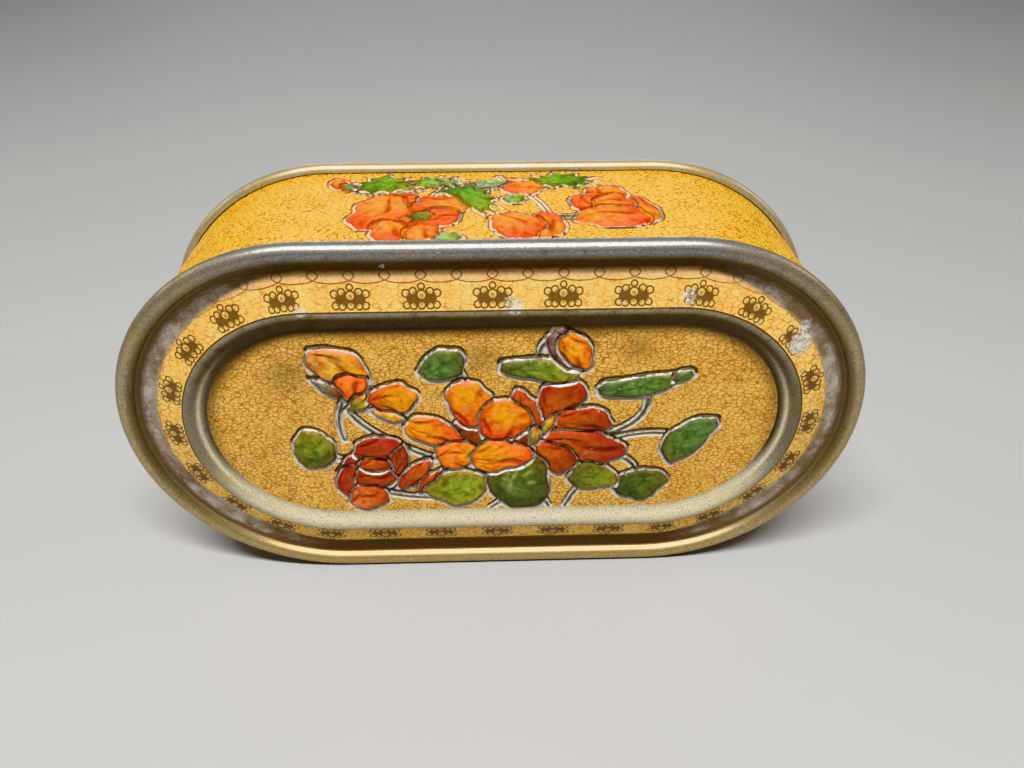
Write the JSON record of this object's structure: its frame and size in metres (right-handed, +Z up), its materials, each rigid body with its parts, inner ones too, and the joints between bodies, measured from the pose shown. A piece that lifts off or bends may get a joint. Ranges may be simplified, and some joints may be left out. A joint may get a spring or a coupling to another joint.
{
  "type": "biscuit tin",
  "caption": "Oval tinplate biscuit tin with an embossed flower lid that lifts off, rolled beads and a poppy-embossed wall, standing on one long side.",
  "frame": {"origin": "middle of the tin's length and depth, on the plane that its two beads stand on", "axes": "+X along the tin's length, +Z up across its width, -Y out through the lid"},
  "size_m": [0.23, 0.0624, 0.1265],
  "materials": {
    "lid_lacquer": "glossy printed and lacquered tinplate, worn",
    "wall_lacquer": "glossy printed and lacquered tinplate, worn",
    "bare_tinplate": "gold-lacquered tinplate, worn dull"
  },
  "bodies": {
    "root": {"lid": "lid_lacquer", "wall": "wall_lacquer", "base": "bare_tinplate"}
  },
  "joints": []
}
